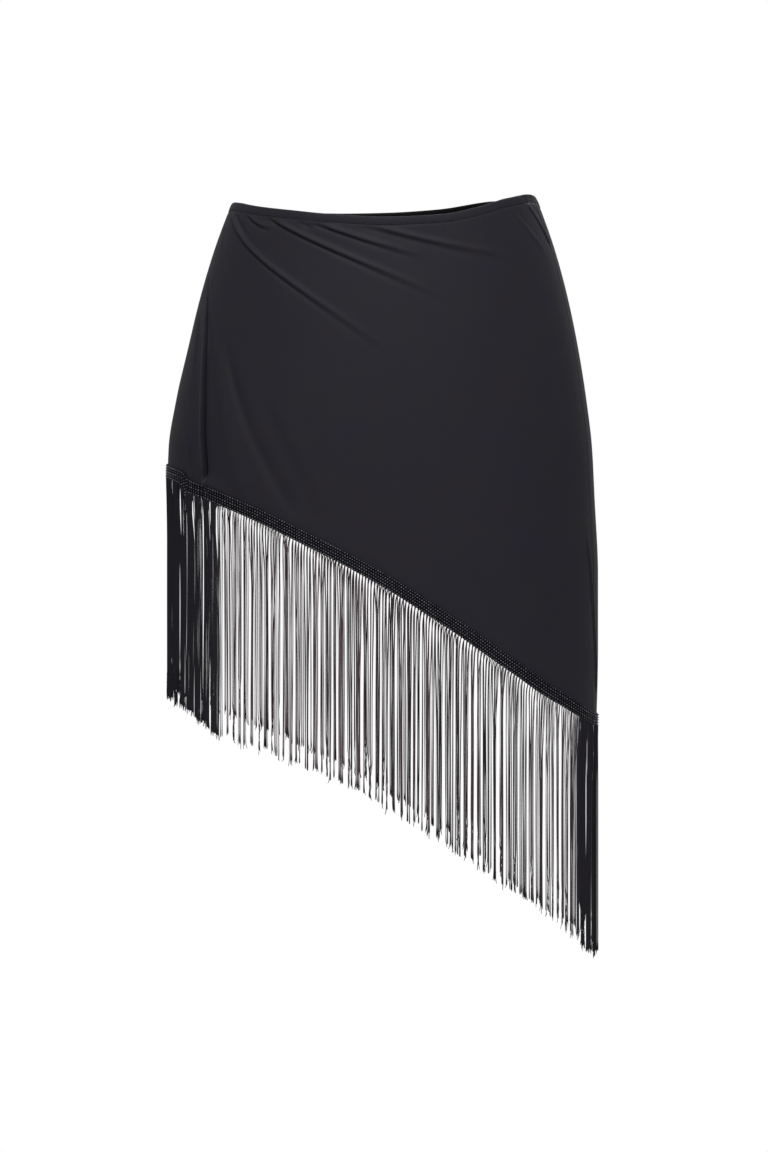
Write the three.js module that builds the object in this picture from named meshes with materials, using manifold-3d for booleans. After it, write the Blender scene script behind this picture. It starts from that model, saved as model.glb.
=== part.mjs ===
// Fringe skirt with a slanting hem, hollow and filled out as it is worn.
// Millimetres, +Z up, front towards -Y, viewer's right towards +X.
// The origin is the middle of the waist opening.
// Angles go round the body in degrees: 0 is the viewer's left side, 90 the middle of the front,
// 180 the right side and 270 the middle of the back.
import * as THREE from 'three';
import { mergeVertices } from 'three/addons/utils/BufferGeometryUtils.js';
import Module from 'manifold-3d';

// Driving dimensions
const CLOTH = 1.6; // wall of the doubled jersey
const SEAM_GAP = 0.3; // between pieces that are sewn together
const CASING_HEIGHT = 6.5; // waist edge turned over its elastic
const CASING_PROUD = 0.6; // how far the casing stands out from each face of the cloth
const HEADING_WIDTH = 10.3; // stitched heading of the fringe, square to its run
const HEADING_THICKNESS = 1.6;
const HEM_SHORT_OF_HEADING = 1.2; // the cloth ends this far above the heading's lower edge
const STRAND_LENGTH = 172; // from the heading's lower edge
const STRAND_WIDTH = 1.3;
const STRAND_ROOT = 3; // length of strand that runs up inside the heading
const SQUARENESS = 0.03; // how much a section swells out at its corners

// Side seams. The right one lies in front of the silhouette.
const LEFT_SEAM = 0;
const RIGHT_SEAM = 165;

// Sections of the filled cloth's outside, down from the waist: reach to the left and right of the
// middle, and depth to the front and back.
const SECTIONS = [
  { drop: 0, left: 119.5, right: 121, front: 86, back: 96 },
  { drop: 40, left: 134.6, right: 135.6, front: 92, back: 102 },
  { drop: 80, left: 146.6, right: 146.8, front: 98, back: 110 },
  { drop: 120, left: 156, right: 155.4, front: 103, back: 118 },
  { drop: 160, left: 165, right: 161.8, front: 107, back: 125 },
  { drop: 200, left: 171.5, right: 165.6, front: 110, back: 129 },
  { drop: 240, left: 173.4, right: 167.4, front: 112, back: 130 },
  { drop: 300, left: 173.8, right: 169, front: 113, back: 129 },
  { drop: 360, left: 173.6, right: 168.8, front: 113, back: 127 },
  { drop: 430, left: 173, right: 168, front: 113, back: 125 },
];

// Drop of the waist edge and of the heading's upper edge, all the way round.
const EDGES = [
  { angle: 0, waist: 3, hem: 212 },
  { angle: 25, waist: 7, hem: 217.5 },
  { angle: 40, waist: 10.8, hem: 230.5 },
  { angle: 55, waist: 14, hem: 246 },
  { angle: 70, waist: 17, hem: 266.5 },
  { angle: 90, waist: 18.6, hem: 298 },
  { angle: 110, waist: 16.5, hem: 336 },
  { angle: 125, waist: 11, hem: 365.5 },
  { angle: 140, waist: 4.2, hem: 389.5 },
  { angle: 160, waist: -1.5, hem: 407 },
  { angle: 180, waist: -3, hem: 411.5 },
  { angle: 205, waist: -2.6, hem: 402 },
  { angle: 225, waist: -1, hem: 381 },
  { angle: 250, waist: 2.8, hem: 330 },
  { angle: 270, waist: 5.6, hem: 291 },
  { angle: 290, waist: 6.8, hem: 259.5 },
  { angle: 315, waist: 6.4, hem: 229 },
  { angle: 335, waist: 5, hem: 214.5 },
  { angle: 348, waist: 4, hem: 210.8 },
  { angle: 360, waist: 3, hem: 212 },
];

// Folds. Each follows a bowed line over the cloth, from one angle and drop to another, with a
// trough on the line and a ridge beside it. bow moves the middle of the line to the left of its
// run, lean is how far to that side the ridge is, and fade is the share of the length over which
// the fold dies away at each end.
const FOLD_SCALE = 2.3; // mm of cloth to a degree, for distances to a fold
const FOLDS = [
  { from: 16, top: 12, to: 94, foot: 133, bow: 7, width: 8, lean: 8, ridge: 3.6, trough: 3, fade: 0.3 },
  { from: 36, top: 12, to: 114, foot: 93, bow: 1, width: 8, lean: 8, ridge: 3.2, trough: 2.6, fade: 0.28 },
  { from: 60, top: 20, to: 104, foot: 57, bow: 0, width: 7, lean: 6, ridge: 2, trough: 1.8, fade: 0.3 },
  { from: 82, top: 24, to: 135, foot: 54, bow: 2, width: 7, lean: 6, ridge: 2, trough: 1.8, fade: 0.3 },
  { from: 14, top: 66, to: 41, foot: 246, bow: 9, width: 7, lean: -9, ridge: 3.6, trough: 4.6, fade: 0.16 },
  { from: 31, top: 112, to: 55, foot: 262, bow: -3, width: 8, lean: 9, ridge: 1.4, trough: 2, fade: 0.3 },
  { from: 40, top: 110, to: 72, foot: 272, bow: -4, width: 9, lean: 11, ridge: 1.2, trough: 1.8, fade: 0.3 },
  { from: 150, top: 10, to: 172, foot: 52, bow: 4, width: 6, lean: -5, ridge: 1.6, trough: 1.2, fade: 0.3 },
  { from: 112, top: 280, to: 128, foot: 372, bow: -2, width: 9, lean: 10, ridge: 0.8, trough: 1, fade: 0.35 },
  { from: 134, top: 300, to: 142, foot: 396, bow: 2, width: 9, lean: -10, ridge: 0.8, trough: 1, fade: 0.35 },
  { from: 350, top: 12, to: 282, foot: 108, bow: -6, width: 8, lean: -7, ridge: 2.6, trough: 2.2, fade: 0.3 },
  { from: 332, top: 16, to: 258, foot: 76, bow: 2, width: 7, lean: -6, ridge: 2, trough: 1.8, fade: 0.3 },
  { from: 306, top: 18, to: 238, foot: 48, bow: -2, width: 7, lean: -6, ridge: 1.5, trough: 1.3, fade: 0.3 },
  { from: 342, top: 80, to: 321, foot: 242, bow: 5, width: 8, lean: 9, ridge: 2.4, trough: 3, fade: 0.2 },
  { from: 326, top: 120, to: 300, foot: 262, bow: -3, width: 9, lean: -10, ridge: 1.3, trough: 2, fade: 0.3 },
  { from: 206, top: 250, to: 198, foot: 414, bow: 2, width: 9, lean: 10, ridge: 1, trough: 1.4, fade: 0.3 },
  { from: 240, top: 210, to: 228, foot: 386, bow: -3, width: 9, lean: -10, ridge: 1, trough: 1.5, fade: 0.3 },
];

// Mesh density and strands of each half. crowd is the share by which columns are closer together
// at the half's start, or at its end where it is negative: both are the left side, where the folds
// are. Each cell is split along the way that the half's folds run.
const FRONT = {
  from: LEFT_SEAM,
  to: RIGHT_SEAM,
  columns: 50,
  rows: 29,
  crowd: 0.35,
  rising: false,
  strands: 118,
};
const BACK = {
  from: RIGHT_SEAM,
  to: LEFT_SEAM + 360,
  columns: 34,
  rows: 20,
  crowd: -0.3,
  rising: true,
  strands: 132,
};
const ROW_CROWDING = 0.4; // rows are closer together by this share under the waist
const CASING_COLUMNS = 60;
const STRAND_CROWDING = 0.2; // strands are closer together by this share at the side seams
const FOLD_START = 8; // folds rise to their full height over this distance under the casing

const radians = THREE.MathUtils.degToRad;

// Smooth curve through one column of a table, without overshoot between its rows.
function follow(rows, along, column, at) {
  const last = rows.length - 1;
  const place = THREE.MathUtils.clamp(at, rows[0][along], rows[last][along]);
  const slope = (k) => (rows[k + 1][column] - rows[k][column]) / (rows[k + 1][along] - rows[k][along]);
  const tangent = (k) => {
    if (k === 0) return slope(0);
    if (k === last) return slope(last - 1);
    const before = slope(k - 1);
    const after = slope(k);
    return before * after <= 0 ? 0 : (2 * before * after) / (before + after);
  };
  let k = 0;
  while (k < last - 1 && rows[k + 1][along] < place) k += 1;
  const span = rows[k + 1][along] - rows[k][along];
  const t = (place - rows[k][along]) / span;
  return (
    (1 + 2 * t) * (1 - t) ** 2 * rows[k][column] +
    t * (1 - t) ** 2 * span * tangent(k) +
    t * t * (3 - 2 * t) * rows[k + 1][column] +
    t * t * (t - 1) * span * tangent(k + 1)
  );
}

const waistDrop = (angle) => follow(EDGES, 'angle', 'waist', angle);
const headingTop = (angle) => follow(EDGES, 'angle', 'hem', angle);

// The heading is as wide everywhere square to its run, so it is taller where it runs steeply.
function headingBottom(angle) {
  const step = 1;
  const before = formPoint(angle - step, headingTop(angle - step));
  const after = formPoint(angle + step, headingTop(angle + step));
  const across = Math.hypot(after.x - before.x, after.y - before.y);
  return headingTop(angle) + HEADING_WIDTH * (before.distanceTo(after) / across);
}

// Smooth form without folds: a section is an ellipse with squared corners, in two halves.
function formPoint(angle, drop) {
  const [left, right, front, back] = ['left', 'right', 'front', 'back'].map((column) =>
    follow(SECTIONS, 'drop', column, drop),
  );
  const turn = radians(angle);
  const swell = 1 + SQUARENESS * Math.sin(2 * turn) ** 2;
  const depth = Math.sin(turn) > 0 ? front : back;
  return new THREE.Vector3(
    (right - left) / 2 - ((right + left) / 2) * Math.cos(turn) * swell,
    -depth * Math.sin(turn) * swell,
    -drop,
  );
}

// Direction square to the smooth form, pointing out of the body.
function outward(angle, drop) {
  const across = formPoint(angle + 0.5, drop).sub(formPoint(angle - 0.5, drop));
  const down = formPoint(angle, drop + 1).sub(formPoint(angle, drop - 1));
  return down.cross(across).normalize();
}

// Height of one fold: a Gaussian trough on its bowed line and a Gaussian ridge beside it, both
// dying away towards the ends.
function foldHeight(fold, angle, drop) {
  const along = new THREE.Vector2((fold.to - fold.from) * FOLD_SCALE, fold.top - fold.foot);
  const place = new THREE.Vector2((angle - fold.from) * FOLD_SCALE, fold.top - drop);
  const t = place.dot(along) / along.lengthSq();
  if (t <= 0 || t >= 1) return 0;
  const side = along.cross(place) / along.length() - fold.bow * 4 * t * (1 - t);
  const end = THREE.MathUtils.smoothstep(Math.min(t, 1 - t), 0, fold.fade);
  const ridge = fold.ridge * Math.exp(-(((side - fold.lean) / fold.width) ** 2));
  const trough = fold.trough * Math.exp(-((side / (0.75 * fold.width)) ** 2));
  return end * (ridge - trough);
}

// Point of the folded cloth, moved out from its outside by a distance.
function clothPoint(angle, drop, out) {
  const edge = waistDrop(angle) + CASING_HEIGHT;
  const start = THREE.MathUtils.smoothstep(drop, edge, edge + FOLD_START);
  const lift = FOLDS.reduce((sum, fold) => sum + foldHeight(fold, angle, drop), 0);
  return formPoint(angle, drop).addScaledVector(outward(angle, drop), start * lift + out);
}

// Closed wall between an outer and an inner grid of points. A loop joins its last column to its
// first, and an open wall has an edge at each end. Cells are split from their lower left corner to
// their upper right one where rising is set.
function wallGeometry(columns, rows, pointAt, { loop = false, rising = false } = {}) {
  const across = loop ? columns : columns + 1;
  const positions = [];
  for (const face of [0, 1]) {
    for (let c = 0; c < across; c += 1) {
      for (let r = 0; r <= rows; r += 1) positions.push(...pointAt(c, r, face).toArray());
    }
  }
  const at = (c, r, face) => (face * across + (c % across)) * (rows + 1) + r;
  const triangles = [];
  const quad = (a, b, c, d) => {
    if (rising) triangles.push(a, b, d, b, c, d);
    else triangles.push(a, b, c, a, c, d);
  };
  for (let c = 0; c < columns; c += 1) {
    for (let r = 0; r < rows; r += 1) {
      quad(at(c, r, 0), at(c, r + 1, 0), at(c + 1, r + 1, 0), at(c + 1, r, 0));
      quad(at(c, r, 1), at(c + 1, r, 1), at(c + 1, r + 1, 1), at(c, r + 1, 1));
    }
    quad(at(c, 0, 0), at(c + 1, 0, 0), at(c + 1, 0, 1), at(c, 0, 1));
    quad(at(c, rows, 0), at(c, rows, 1), at(c + 1, rows, 1), at(c + 1, rows, 0));
  }
  if (!loop) {
    for (let r = 0; r < rows; r += 1) {
      quad(at(0, r, 0), at(0, r, 1), at(0, r + 1, 1), at(0, r + 1, 0));
      quad(at(columns, r, 0), at(columns, r + 1, 0), at(columns, r + 1, 1), at(columns, r, 1));
    }
  }
  const geometry = new THREE.BufferGeometry();
  geometry.setAttribute('position', new THREE.Float32BufferAttribute(positions, 3));
  geometry.setIndex(triangles);
  return geometry;
}

// Angle of one column of a half, held back from both seams by half the gap.
function columnAngle(half, column) {
  const margin = 0.09;
  const even = column / half.columns;
  const share = even + half.crowd * even * (even - 1);
  return THREE.MathUtils.lerp(half.from + margin, half.to - margin, share);
}

// Cloth of one half, from under the casing to behind the heading. Rows are closer near the waist,
// and the last row but one is on the heading's upper edge.
function panelGeometry(half) {
  const top = CASING_HEIGHT + SEAM_GAP;
  const pointAt = (column, row, face) => {
    const angle = columnAngle(half, column);
    const even = row / (half.rows - 1);
    const share = even + ROW_CROWDING * even * (even - 1);
    const drop =
      row < half.rows
        ? THREE.MathUtils.lerp(waistDrop(angle) + top, headingTop(angle), share)
        : headingBottom(angle) - HEM_SHORT_OF_HEADING;
    return clothPoint(angle, drop, -face * CLOTH);
  };
  return wallGeometry(half.columns, half.rows, pointAt, { rising: half.rising });
}

// Turned waist edge: a loop with a rounded top, a little proud of both faces of the cloth.
function casingGeometry() {
  const profile = [
    { down: 0, proud: -0.2 },
    { down: 1.2, proud: CASING_PROUD },
    { down: CASING_HEIGHT - 0.8, proud: CASING_PROUD },
    { down: CASING_HEIGHT, proud: 0.1 },
  ];
  const pointAt = (column, row, face) => {
    const angle = (360 * column) / CASING_COLUMNS;
    const { down, proud } = profile[row];
    const out = face === 0 ? proud : -CLOTH - proud;
    return formPoint(angle, waistDrop(angle) + down).addScaledVector(outward(angle, 0), out);
  };
  return wallGeometry(CASING_COLUMNS, profile.length - 1, pointAt, { loop: true });
}

// Stitched heading over the outside of the hem, on the same columns as the cloth under it.
function headingPoint(half, column, row, out) {
  const angle = columnAngle(half, column);
  return clothPoint(angle, row === 0 ? headingTop(angle) : headingBottom(angle), SEAM_GAP + out);
}

// Where a strand leaves the heading's lower edge: between two columns, in the middle of its
// thickness.
function strandRoot(half, angle) {
  let column = 0;
  while (columnAngle(half, column + 1) < angle) column += 1;
  const share = THREE.MathUtils.inverseLerp(columnAngle(half, column), columnAngle(half, column + 1), angle);
  const [left, right] = [column, column + 1].map((c) => headingPoint(half, c, 1, HEADING_THICKNESS / 2));
  return { point: left.clone().lerp(right, share), along: right.sub(left).setZ(0).normalize() };
}

// One three-sided strand that hangs from inside the heading and sways a little on its way down.
function strandGeometry(half, index) {
  const even = (index + 0.5) / half.strands;
  const share = even - (STRAND_CROWDING * Math.sin(2 * Math.PI * even)) / (2 * Math.PI);
  const { point, along } = strandRoot(half, THREE.MathUtils.lerp(half.from, half.to, share));
  const away = new THREE.Vector3(along.y, -along.x, 0);
  const sway = 0.8 * Math.sin(index * 0.8);
  const swing = 1.2 * Math.sin(index * 1.7) - 0.8;
  const length = STRAND_LENGTH + 3 * Math.sin(index * 2.4) + 3 * Math.sin(index * 0.37);
  const stations = [
    { down: -STRAND_ROOT, sway: 0, swing: 0 },
    { down: 0.45 * length, sway, swing: swing / 2 },
    { down: length, sway: sway / 2, swing },
  ];
  const positions = stations.flatMap((station) => {
    const centre = point
      .clone()
      .addScaledVector(along, station.sway)
      .addScaledVector(away, station.swing)
      .setZ(point.z - station.down);
    return [0, 1, 2].flatMap((corner) => {
      const turn = (-corner * 2 * Math.PI) / 3;
      return centre
        .clone()
        .addScaledVector(along, (STRAND_WIDTH / 2) * Math.cos(turn))
        .addScaledVector(away, (STRAND_WIDTH / 2) * Math.sin(turn))
        .toArray();
    });
  });
  const triangles = [0, 1, 2, 6, 8, 7];
  for (let s = 0; s < 2; s += 1) {
    for (let corner = 0; corner < 3; corner += 1) {
      const [a, b] = [3 * s + corner, 3 * s + ((corner + 1) % 3)];
      triangles.push(a, a + 3, b, b, a + 3, b + 3);
    }
  }
  const geometry = new THREE.BufferGeometry();
  geometry.setAttribute('position', new THREE.Float32BufferAttribute(positions, 3));
  geometry.setIndex(triangles);
  return geometry;
}

const wasm = await Module();
wasm.setup();

function toSolid(geometry) {
  const merged = mergeVertices(geometry);
  return new wasm.Manifold(
    new wasm.Mesh({
      numProp: 3,
      vertProperties: new Float32Array(merged.attributes.position.array),
      triVerts: new Uint32Array(merged.index.array),
    }),
  );
}

function fromSolid(solid) {
  const mesh = solid.getMesh();
  const geometry = new THREE.BufferGeometry();
  geometry.setAttribute('position', new THREE.BufferAttribute(new Float32Array(mesh.vertProperties), 3));
  geometry.setIndex(new THREE.BufferAttribute(new Uint32Array(mesh.triVerts), 1));
  return geometry;
}

// Heading and strands of one half, fused at the strands' roots.
function fringeGeometry(half) {
  const pointAt = (column, row, face) => headingPoint(half, column, row, face === 0 ? HEADING_THICKNESS : 0);
  let solid = toSolid(wallGeometry(half.columns, 1, pointAt, { rising: half.rising }));
  for (let index = 0; index < half.strands; index += 1) {
    solid = solid.add(toSolid(strandGeometry(half, index)));
  }
  return fromSolid(solid);
}

const jersey = new THREE.MeshStandardMaterial({ color: '#29282e', roughness: 0.85, metalness: 0 });
const casingJersey = new THREE.MeshStandardMaterial({ color: '#2a292f', roughness: 0.85, metalness: 0 });
const fringeYarn = new THREE.MeshStandardMaterial({ color: '#232226', roughness: 0.7, metalness: 0 });

function part(name, geometry, material) {
  const mesh = new THREE.Mesh(geometry, material);
  mesh.name = name;
  return mesh;
}

const skirt = new THREE.Group();
skirt.add(
  part('front_panel', panelGeometry(FRONT), jersey),
  part('back_panel', panelGeometry(BACK), jersey),
  part('waist_casing', casingGeometry(), casingJersey),
  part('fringe_front', fringeGeometry(FRONT), fringeYarn),
  part('fringe_back', fringeGeometry(BACK), fringeYarn),
);

export default skirt;
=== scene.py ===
import math
from collections import namedtuple
from types import SimpleNamespace

import bpy
import numpy as np
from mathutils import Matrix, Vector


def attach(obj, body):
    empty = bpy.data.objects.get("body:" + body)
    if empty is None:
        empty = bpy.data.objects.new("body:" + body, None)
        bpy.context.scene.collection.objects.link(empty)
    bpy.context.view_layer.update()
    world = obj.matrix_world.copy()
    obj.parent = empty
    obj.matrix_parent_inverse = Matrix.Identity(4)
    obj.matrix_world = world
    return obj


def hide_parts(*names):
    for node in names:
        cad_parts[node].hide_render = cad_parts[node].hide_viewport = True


bl_info = {
    "name": "Fringe skirt",
    "version": (1, 0, 0),
    "blender": (4, 5, 0),
    "location": "3D View > Sidebar > Skirt",
    "description": "Jersey skirt with a slanting hem and a long fringe, filled out as it is worn",
    "category": "Add Mesh",
}

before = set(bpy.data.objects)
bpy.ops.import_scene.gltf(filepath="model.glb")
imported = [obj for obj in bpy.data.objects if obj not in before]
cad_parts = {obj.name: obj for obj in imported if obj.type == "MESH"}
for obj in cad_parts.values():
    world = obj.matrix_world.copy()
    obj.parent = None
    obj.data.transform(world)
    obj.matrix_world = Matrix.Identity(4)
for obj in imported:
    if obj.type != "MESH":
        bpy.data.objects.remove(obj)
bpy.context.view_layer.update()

# Lengths in this file are millimetres, and turn to metres where they enter a mesh or a property.
# Angles go round the body in degrees: 0 is the viewer's left side, 90 the middle of the front,
# 180 the right side and 270 the middle of the back. Drops go down from the waist opening's middle.
MM = 0.001

CLOTH = 1.6  # wall of the doubled jersey
CASING_HEIGHT = 6.5  # waist edge turned over its elastic
SEAM_GAP = 0.3  # between the cloth and the heading on it
HEADING_WIDTH = 10.3  # stitched heading of the fringe, square to its run
HEM_SHORT_OF_HEADING = 1.2  # the cloth ends this far above the heading's lower edge
SQUARENESS = 0.03  # how much a section swells out at its corners
WAIST_SCALE = 1.87  # mm to a degree round the waist edge, for patterns that follow it
CLOTH_SCALE = 2.8  # mm to a degree round the cloth
HEM_SCALE = 2.9  # mm to a degree round the hem


def table(names, rows):
    """One array for each named column."""
    return dict(zip(names.split(), np.array(rows, float).T))


# Sections of the filled cloth: reach to the left and right, and depth to the front and back.
SECTIONS = table("drop left right front back", [
    (0, 120.3, 122.2, 86, 96),
    (40, 135.3, 136.4, 92, 102),
    (80, 147.2, 147.2, 98, 110),
    (120, 156.8, 155.4, 103, 118),
    (160, 166, 161.8, 107, 125),
    (200, 172.3, 166.5, 110, 129),
    (240, 173.4, 168.5, 112, 130),
    (300, 174.2, 171.2, 113, 129),
    (360, 174.2, 171.2, 113, 127),
    (430, 173.6, 169.6, 113, 125),
])

# Drop of the waist edge and of the heading's upper edge.
EDGES = table("angle waist hem", [
    (0, 4.6, 212),
    (10, 3.6, 213.6),
    (24, 5.2, 217.8),
    (27, 5.9, 220.2),
    (28.8, 6.4, 223.8),
    (40, 9.4, 231.8),
    (55, 13, 246.3),
    (70, 16.5, 266.5),
    (90, 19, 298),
    (110, 16.8, 336),
    (125, 10.4, 365.5),
    (140, 2.6, 389.5),
    (160, -2, 407),
    (168, -1.4, 410),
    (180, 1.4, 411.5),
    (190, 0.8, 409.5),
    (205, -1.6, 402),
    (225, -2.4, 381),
    (250, 3, 330),
    (270, 5.4, 291),
    (290, 6.2, 259.5),
    (315, 6, 229),
    (335, 4.8, 214.5),
    (348, 4.4, 210.8),
    (360, 4.6, 212),
])

# Strands of the fringe: distance between two of them, how much longer than the fringe's stated
# length they are, how far a bundle of them closes up, and the share of pale yarn, whose pale tone is partly
# painted sheen.
STRANDS = table("angle pitch longer close pale", [
    (0, 0.9, 0, 0.45, 0),
    (31, 0.9, 1, 0.45, 0),
    (43, 0.9, 8, 0.45, 0.05),
    (45.5, 2.4, 7, 0.8, 1),
    (58, 2.4, 4, 0.8, 1),
    (72, 2.4, -1, 0.8, 0.95),
    (93, 2.4, -4, 0.8, 0.52),
    (136, 2.4, -4, 0.8, 0.42),
    (151.5, 2.4, 1, 0.8, 0.5),
    (154, 0.92, 3, 0.3, 0),
    (165, 0.92, 6, 0.3, 0),
    (166, 2.4, 7, 2.5, 0),
    (184, 2.4, 5, 2.5, 0.05),
    (187, 2.4, 4, 0.8, 0.7),
    (205, 2.4, 0, 0.8, 0.75),
    (275, 2.4, 0, 0.8, 0.8),
    (310, 2.4, 0, 0.8, 1),
    (316, 2.4, 0, 2.5, 0.1),
    (357, 2.4, 0, 2.5, 0),
    (360, 2.4, 0, 2.5, 0),
])

# Columns of cloth are closer together where folds cross them: angle between two of them.
COLUMNS = table("angle step", [
    (0, 0.42),
    (11, 0.3),
    (40, 0.3),
    (48, 0.44),
    (62, 0.44),
    (100, 0.75),
    (145, 0.75),
    (153, 0.6),
    (168, 0.6),
    (185, 0.85),
    (235, 0.95),
    (290, 0.65),
    (360, 0.5),
])

# Folds. Each has a trough on a bowed line from one angle and drop to another, and a ridge beside
# it. bow moves the middle of the line to the left of its run, and lean is how far to that side the
# ridge is. outer and valley are the widths beyond the ridge and beyond the trough, roll is how far
# the ridge leans over the trough as a share of the lean, and the fades are the shares of the length
# over which the fold comes and goes.
Fold = namedtuple("Fold", "start top end foot bow lean ridge outer trough valley roll fade_in fade_out")
FOLDS = [
    # Out of the left waist corner, across the front
    Fold(15.5, 11, 97, 142, 8.4, 3.7, 1.8, 2.0, 1.1, 2.2, 0.85, 0.03, 0.75),
    Fold(20.5, 11, 42.5, 39.5, 1.0, -2, 0.0, 2, 1.2, 1.6, 0.0, 0.05, 0.5),
    Fold(31.5, 15, 50, 31.5, -0.4, 3.0, 1.0, 1.6, 1.0, 1.8, 0.6, 0.08, 0.45),
    Fold(41, 14.5, 112.5, 93, 2.8, 4.0, 1.8, 1.8, 1.0, 2.2, 0.7, 0.04, 0.7),
    Fold(55.5, 18, 66.5, 29, -0.4, 2.4, 0.7, 1.4, 0.7, 1.4, 0.3, 0.2, 0.4),
    Fold(61, 21.5, 106, 58, 0.6, 4.2, 1.5, 2.0, 0.7, 2.2, 0.6, 0.04, 0.6),
    Fold(76, 21.5, 140, 57, -3, 5.4, 1.4, 2.0, 0.5, 3, 0.4, 0.08, 0.6),
    # Down the left side, under the tuck
    Fold(9, 20, 22, 50, 2.5, 1.2, 0.5, 1.0, 0.1, 1, 0.0, 0.2, 0.3),
    Fold(12.9, 62, 37.2, 244, 12.6, -3.2, 1.1, 3.4, 7.6, 1.8, 0.6, 0.08, 0.01),
    Fold(13.3, 66, 37.5, 244, 12.5, -2.0, 0.0, 1.0, 3.0, 11, 0.3, 0.2, 0.05),
    Fold(20.3, 62, 31.8, 140, 0.2, -1.8, 0.3, 1.6, 2.4, 1.2, 0.0, 0.15, 0.35),
    Fold(23, 84, 46.1, 245, 8.5, 9, 1.0, 6, 0.4, 4.5, 0.0, 0.25, 0.05),
    Fold(12.1, 86, 30.2, 236, 11, 2.4, 1.0, 2, 3.0, 1.6, 0.0, 0.25, 0.02),
    Fold(36.4, 104, 69.6, 266, 0, -8, 0.1, 6, 1.3, 4.5, 0.0, 0.3, 0.2),
    Fold(54, 150, 76, 276, 2, 9, 0.3, 10, 0.6, 7, 0.0, 0.35, 0.3),
    # Right waist corner and right side
    Fold(151.6, 5, 164.9, 42, 3.2, 2.8, 0.8, 1.4, 0.6, 2.6, 0.3, 0.25, 0.15),
    Fold(158.5, 5, 169.5, 30, 2.0, 2.6, 0.0, 2, 0.5, 2.2, 0.0, 0.2, 0.3),
    Fold(139, 14, 155, 50, -1, 6, 0.5, 1.6, 0.1, 3, 0.0, 0.25, 0.3),
    Fold(157.5, 262, 171, 396, 0, 3.2, 0.9, 1.8, 0.9, 5, 0.3, 0.2, 0.06),
    Fold(112, 280, 128, 372, -2, 10, 0.5, 9, 0.8, 7, 0.0, 0.35, 0.35),
    Fold(134, 300, 142, 396, 2, -10, 0.5, 9, 0.8, 7, 0.0, 0.35, 0.35),
    # Out of the left waist corner, across the back
    Fold(350, 12, 282, 112, -6, -5, 2.6, 9, 2.6, 8, 1.1, 0.1, 0.55),
    Fold(332, 14, 256, 80, 2, -5, 2.2, 7, 2.4, 7, 1.1, 0.12, 0.5),
    Fold(306, 18, 236, 50, -2, -4.5, 1.7, 6, 1.9, 6, 0.9, 0.2, 0.5),
    Fold(338, 12, 300, 44, 1, -4, 1.0, 5, 1.0, 4, 0.8, 0.2, 0.5),
    # Down the back
    Fold(336, 84, 316, 246, 5, 8, 2.4, 8, 3.6, 8, 0.8, 0.2, 0.1),
    Fold(322, 120, 298, 264, -3, -9, 1.1, 9, 1.7, 8, 0.0, 0.3, 0.25),
    Fold(206, 250, 198, 414, 2, 9, 0.8, 9, 1.2, 8, 0.0, 0.3, 0.2),
    Fold(240, 210, 228, 386, -3, -9, 0.8, 9, 1.2, 8, 0.0, 0.3, 0.3),
]
FOLD_SCALE = 2.3  # mm to a degree, for distances to a fold
FOLD_WIDTH = 0.6  # share of the table's widths that a fold has at its start
FOLD_WIDENS = 0.7  # how much that share grows to its end
FOLD_ROLL_AT = 0.85  # where a fold rolls most, as a share of its lean
FOLD_ROLL_OUTER = 1.4  # width of the roll beyond that, as a share of the lean
FOLD_START = 4  # folds rise to their full height over this distance under the casing
FOLD_HELD = 13  # the heading holds the cloth over this distance above it
FOLD_LEFT = 0.15  # share of a fold's height that is left at the heading

# A half reaches from one side seam to the other. The seed is for its fringe's random draws.
Half = namedtuple("Half", "name start end seed")
FRONT = Half("front", 0, 165, 11)
BACK = Half("back", 165, 360, 23)
SEAMS = (0, 165, 360)

# Flat cuts of one layer, in metres: width and length, and area
FRONT_CUT = (0.50, 0.44)
FRONT_AREA = 0.135
BACK_CUT = (0.56, 0.44)
BACK_AREA = 0.17


def linear(code):
    """Scene colour of an sRGB hex value: each part over 12.92 where it is nearly 0, and otherwise the
    part plus 0.055, over 1.055, to the power of 2.4."""
    parts = (int(code[k:k + 2], 16) / 255 for k in (0, 2, 4))
    return tuple(c / 12.92 if c < 0.04045 else ((c + 0.055) / 1.055) ** 2.4 for c in parts)


def smooth(value, low, high):
    """0 up to low and 1 from high on, with the S curve t * t * (3 - 2 t) between. Where low is the
    larger of the two, it falls with the value instead."""
    t = np.clip((value - low) / (high - low), 0, 1)
    return t * t * (3 - 2 * t)


def unit(vectors):
    """The same directions with length 1."""
    return vectors / np.linalg.norm(vectors, axis=-1, keepdims=True)


def bell(side, above, below=None):
    """Bell curve exp(-(side / width)^2), which may have its own width on each side of its top."""
    width = above if below is None else np.where(side > 0, above, below)
    return np.exp(-((side / width) ** 2))


def follow(rows, along, column, at):
    """Smooth curve through one column of a table. Between two rows it is a cubic whose slope at a row
    is the harmonic mean of the straight slopes on both sides, or 0 where those differ in sign."""
    x, y = rows[along], rows[column]
    step = np.diff(x)
    slope = np.diff(y) / step
    before, after = slope[:-1], slope[1:]
    level = before * after <= 0
    inner = np.where(level, 0, 2 * before * after / np.where(level, 1, before + after))
    tangent = np.concatenate([slope[:1], inner, slope[-1:]])
    at = np.clip(at, x[0], x[-1])
    k = np.clip(np.searchsorted(x, at, "right") - 1, 0, len(step) - 1)
    t = (at - x[k]) / step[k]
    return (
        (1 + 2 * t) * (1 - t) ** 2 * y[k]
        + t * (1 - t) ** 2 * step[k] * tangent[k]
        + t * t * (3 - 2 * t) * y[k + 1]
        + t * t * (t - 1) * step[k] * tangent[k + 1]
    )


def waist_drop(angle):
    """Drop of the casing's upper edge, along its column of the table."""
    return follow(EDGES, "angle", "waist", angle)


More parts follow.
